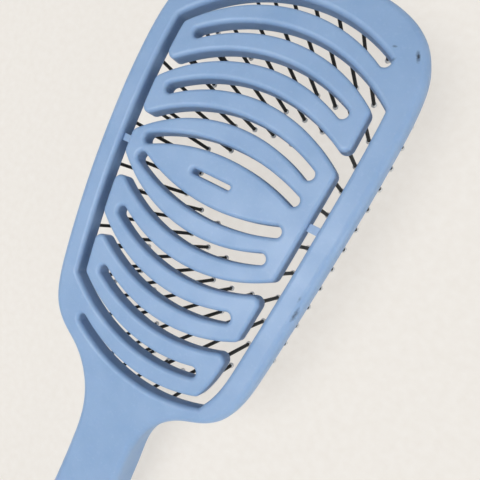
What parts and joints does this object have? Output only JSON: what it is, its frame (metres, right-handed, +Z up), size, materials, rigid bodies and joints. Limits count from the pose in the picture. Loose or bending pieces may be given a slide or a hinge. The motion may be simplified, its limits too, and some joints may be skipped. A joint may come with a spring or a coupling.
{
  "type": "detangling brush",
  "caption": "Vented paddle hair brush: an arched rim and handle around a serpentine flexing panel whose leaf-shaped centre rocks on two side tabs, with ball-tipped pins below.",
  "frame": {"origin": "under the middle of the brush's length, on the table that the ball tips stand on", "axes": "+X across the head to the right seen from the back with the handle down, +Y along the brush from the handle to the crown, +Z up out of the back"},
  "size_m": [0.0906, 0.243, 0.0329],
  "materials": {
    "blue_moulding": "light blue injection-moulded plastic with a soft matt surface",
    "black_nylon_pin": "black drawn nylon, smooth and slightly glossy",
    "pale_nylon_tip": "pale translucent grey nylon bead on the end of each pin"
  },
  "bodies": {
    "island": {"rocking_island": "blue_moulding", "band_5_pins": "black_nylon_pin", "band_5_ball_tips": "pale_nylon_tip", "band_6_pins": "black_nylon_pin", "band_6_ball_tips": "pale_nylon_tip", "leaf_pins": "black_nylon_pin", "leaf_ball_tips": "pale_nylon_tip", "rocking_island_turn_pins": "black_nylon_pin", "rocking_island_turn_ball_tips": "pale_nylon_tip"},
    "upper_inner": {"upper_inner_limb": "blue_moulding", "band_3_pins": "black_nylon_pin", "band_3_ball_tips": "pale_nylon_tip", "band_4_pins": "black_nylon_pin", "band_4_ball_tips": "pale_nylon_tip", "upper_inner_limb_turn_pins": "black_nylon_pin", "upper_inner_limb_turn_ball_tips": "pale_nylon_tip"},
    "upper_outer": {"upper_outer_limb": "blue_moulding", "band_1_pins": "black_nylon_pin", "band_1_ball_tips": "pale_nylon_tip", "band_2_pins": "black_nylon_pin", "band_2_ball_tips": "pale_nylon_tip"},
    "lower_inner": {"lower_inner_limb": "blue_moulding", "band_7_pins": "black_nylon_pin", "band_7_ball_tips": "pale_nylon_tip", "band_8_pins": "black_nylon_pin", "band_8_ball_tips": "pale_nylon_tip", "lower_inner_limb_turn_pins": "black_nylon_pin", "lower_inner_limb_turn_ball_tips": "pale_nylon_tip"},
    "lower_middle": {"lower_middle_limb": "blue_moulding", "band_9_pins": "black_nylon_pin", "band_9_ball_tips": "pale_nylon_tip", "band_10_pins": "black_nylon_pin", "band_10_ball_tips": "pale_nylon_tip", "lower_middle_limb_turn_pins": "black_nylon_pin", "lower_middle_limb_turn_ball_tips": "pale_nylon_tip"},
    "lower_outer": {"lower_outer_limb": "blue_moulding", "band_11_pins": "black_nylon_pin", "band_11_ball_tips": "pale_nylon_tip"},
    "frame": {"rim_and_handle": "blue_moulding", "left_rail_pins": "black_nylon_pin", "left_rail_ball_tips": "pale_nylon_tip", "right_rail_pins": "black_nylon_pin", "right_rail_ball_tips": "pale_nylon_tip", "top_bar_pins": "black_nylon_pin", "top_bar_ball_tips": "pale_nylon_tip", "heel_bar_pins": "black_nylon_pin", "heel_bar_ball_tips": "pale_nylon_tip"}
  },
  "joints": [
    {"name": "island_rock", "type": "hinge", "parent": "frame", "child": "island", "pos_m": [0, 0.052, 0.02991], "axis": [1, 0, 0], "range_deg": [-5, 5], "stiffness_Nm_per_rad": 0.8},
    {"name": "upper_inner_bend", "type": "hinge", "parent": "frame", "child": "upper_inner", "pos_m": [0, 0.052, 0.02991], "axis": [1, 0, 0], "range_deg": [-3.25, 3.25], "stiffness_Nm_per_rad": 0.3},
    {"name": "upper_outer_bend", "type": "hinge", "parent": "frame", "child": "upper_outer", "pos_m": [0, 0.052, 0.02991], "axis": [1, 0, 0], "range_deg": [-1.5, 1.5], "stiffness_Nm_per_rad": 0.3},
    {"name": "lower_inner_bend", "type": "hinge", "parent": "frame", "child": "lower_inner", "pos_m": [0, 0.052, 0.02991], "axis": [1, 0, 0], "range_deg": [-3.6, 3.6], "stiffness_Nm_per_rad": 0.3},
    {"name": "lower_middle_bend", "type": "hinge", "parent": "frame", "child": "lower_middle", "pos_m": [0, 0.052, 0.02991], "axis": [1, 0, 0], "range_deg": [-2.3, 2.3], "stiffness_Nm_per_rad": 0.3},
    {"name": "lower_outer_bend", "type": "hinge", "parent": "frame", "child": "lower_outer", "pos_m": [0, 0.052, 0.02991], "axis": [1, 0, 0], "range_deg": [-1.1, 1.1], "stiffness_Nm_per_rad": 0.3}
  ],
  "couplings": [
    {"joint": "upper_inner_bend", "follows": "island_rock", "ratio": 0.65},
    {"joint": "upper_outer_bend", "follows": "island_rock", "ratio": 0.3},
    {"joint": "lower_inner_bend", "follows": "island_rock", "ratio": 0.72},
    {"joint": "lower_middle_bend", "follows": "island_rock", "ratio": 0.46},
    {"joint": "lower_outer_bend", "follows": "island_rock", "ratio": 0.22}
  ]
}
